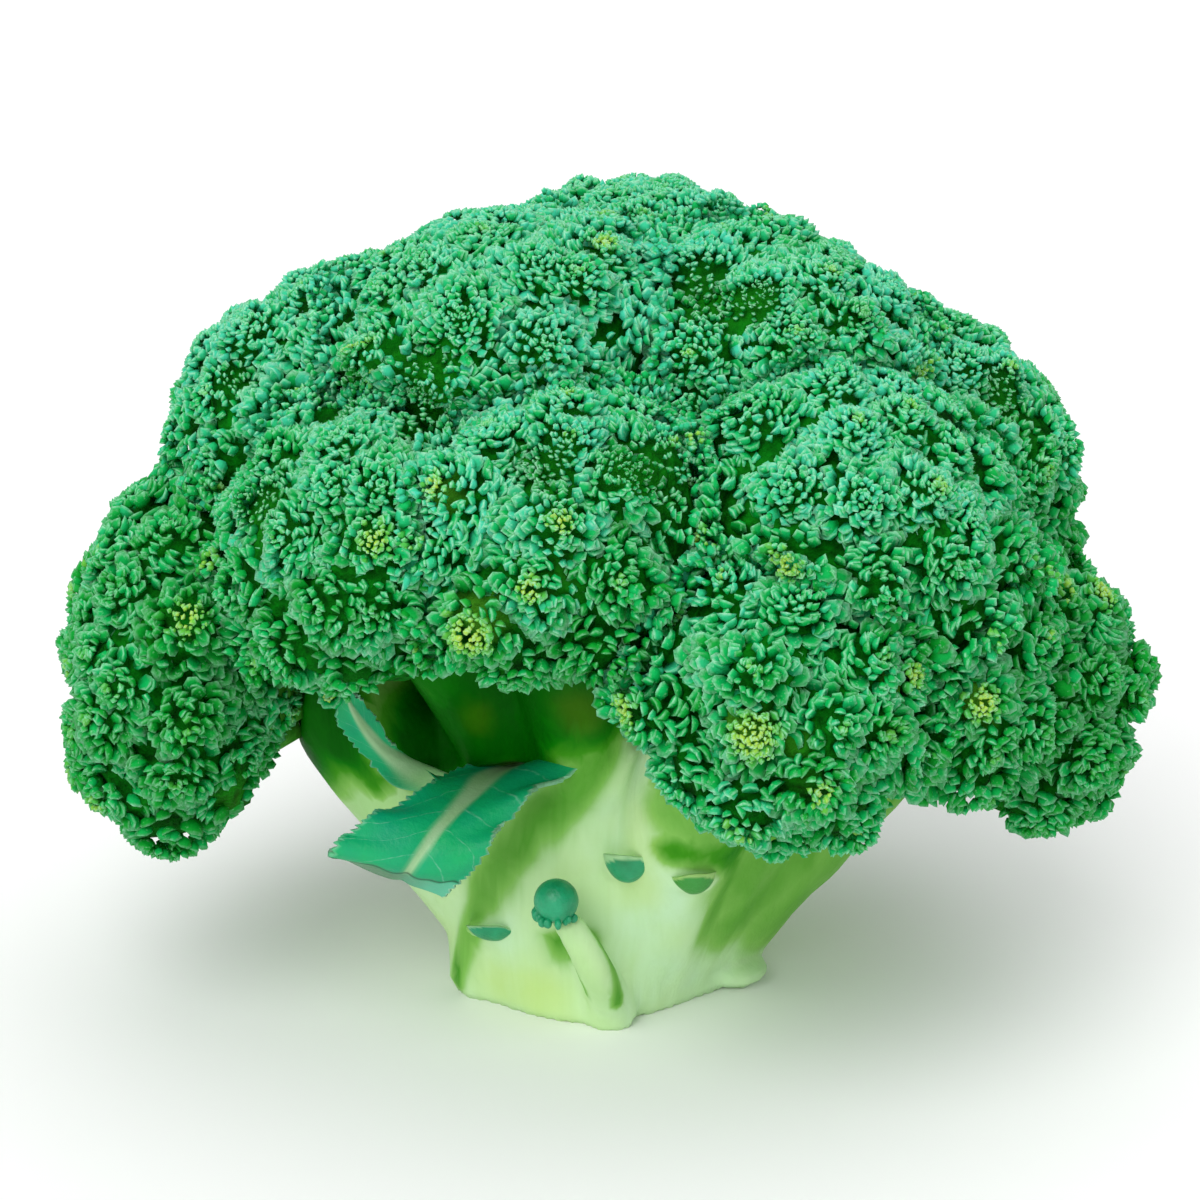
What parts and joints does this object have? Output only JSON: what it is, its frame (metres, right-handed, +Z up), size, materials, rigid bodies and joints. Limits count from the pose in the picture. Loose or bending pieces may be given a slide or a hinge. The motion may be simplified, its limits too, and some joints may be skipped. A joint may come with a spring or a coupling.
{
  "type": "broccoli head",
  "caption": "Fresh broccoli head with a wide lobed crown of florets on a short, thick cut stalk, standing on its cut face.",
  "frame": {"origin": "middle of the stalk's flat cut face, on the surface that the head stands on", "axes": "+Z up through the crown, +X along the crown's widest extent, -Y towards the side with the leaves and the side shoot"},
  "size_m": [0.1702, 0.1466, 0.1261],
  "materials": {
    "stalk": "smooth waxy skin, pale green, darker under the crown",
    "florets": "matt bud clusters, dark green with yellow-green eyes and pale rims",
    "leaves": "waxy blue-green blade with a pale midrib and pale toothed rim"
  },
  "bodies": {
    "root": {"stalk": "stalk", "floret_top_back": "florets", "floret_top_left": "florets", "floret_top_right": "florets", "floret_left_up": "florets", "floret_right_up": "florets", "floret_front_left": "florets", "floret_front_mid": "florets", "floret_front_right": "florets", "floret_left_low": "florets", "floret_right_low": "florets", "floret_front_low": "florets", "floret_front_side": "florets", "floret_back_left": "florets", "floret_back_right": "florets", "floret_back_mid": "florets", "floret_back_low_left": "florets", "floret_back_low_right": "florets", "floret_back_low": "florets", "leaf_large": "leaves", "leaf_small": "leaves", "shoot_tip": "leaves", "leaf_stub_left": "leaves", "leaf_stub_mid": "leaves", "leaf_stub_right": "leaves"}
  },
  "joints": []
}
